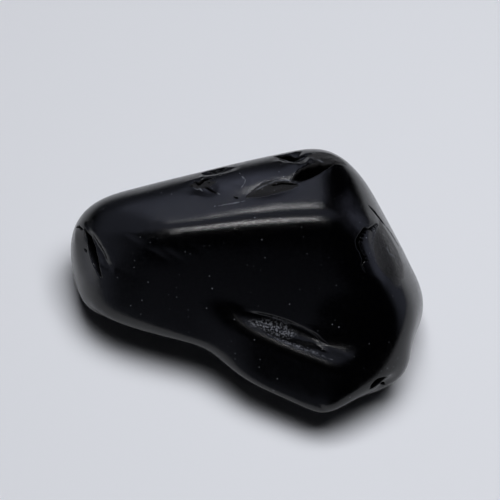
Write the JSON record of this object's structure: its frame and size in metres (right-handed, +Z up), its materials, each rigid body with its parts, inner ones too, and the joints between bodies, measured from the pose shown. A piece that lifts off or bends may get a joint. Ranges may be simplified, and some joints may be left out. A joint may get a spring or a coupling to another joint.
{
  "type": "tumbled jet pebble",
  "caption": "Tumbled pebble of jet with rounded broken faces, a sloping top, a long ridge, a lobe along its front foot and unpolished chips.",
  "frame": {"origin": "middle of the stone's box in X and Y, on the surface that it rests on", "axes": "+Z up, +X along the length towards the thick end, -Y out of the broad front face with the lobe"},
  "size_m": [0.0436, 0.0346, 0.0209],
  "materials": {
    "jet": "polished black, with small unpolished dark grey chips and pits"
  },
  "bodies": {
    "root": {"pebble": "jet"}
  },
  "joints": []
}
